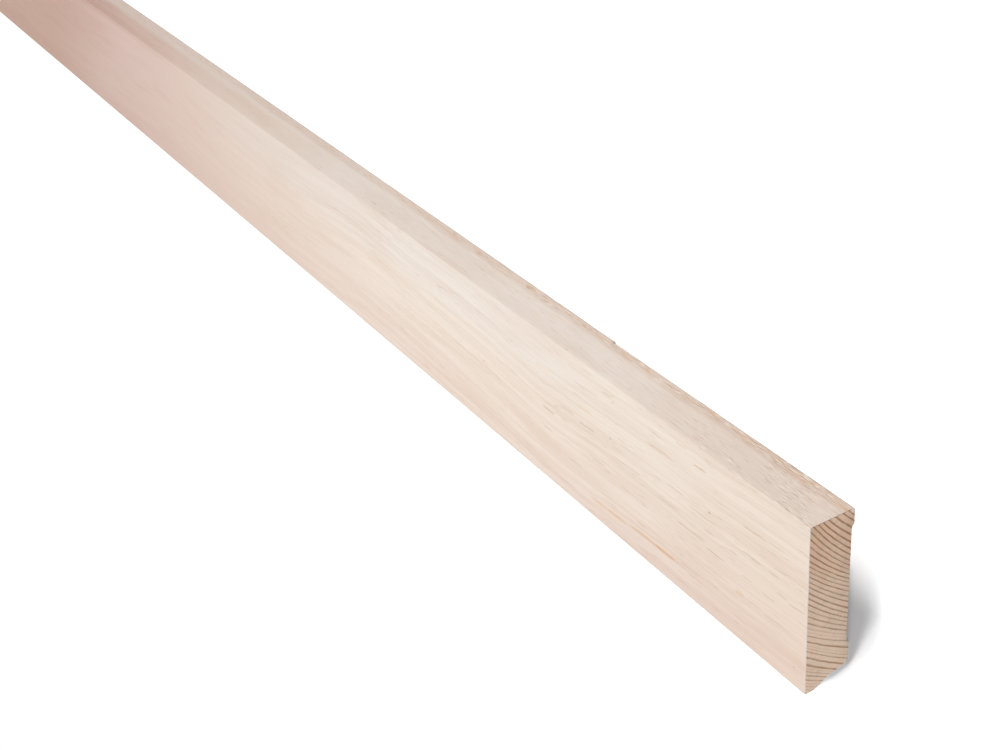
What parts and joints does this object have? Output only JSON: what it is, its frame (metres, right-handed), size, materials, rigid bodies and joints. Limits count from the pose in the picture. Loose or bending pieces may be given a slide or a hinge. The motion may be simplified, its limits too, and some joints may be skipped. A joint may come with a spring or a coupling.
{
  "type": "skirting board length",
  "caption": "Flat wooden skirting board: a long planed strip with an eased face edge, a foot bevelled back from the face, and a shallow hollow along its back.",
  "frame": {"origin": "under the middle of the board as it lies on its back, level with the two flat lands of the back", "axes": "+X along the board, +Y from the foot towards the top edge, +Z from the back out through the face"},
  "size_m": [2.4, 0.056, 0.015],
  "materials": {
    "whitewashed_pine": "planed softwood under a thin matt white stain, with bare sawn ends"
  },
  "bodies": {
    "root": {"skirting_board": "whitewashed_pine"}
  },
  "joints": []
}
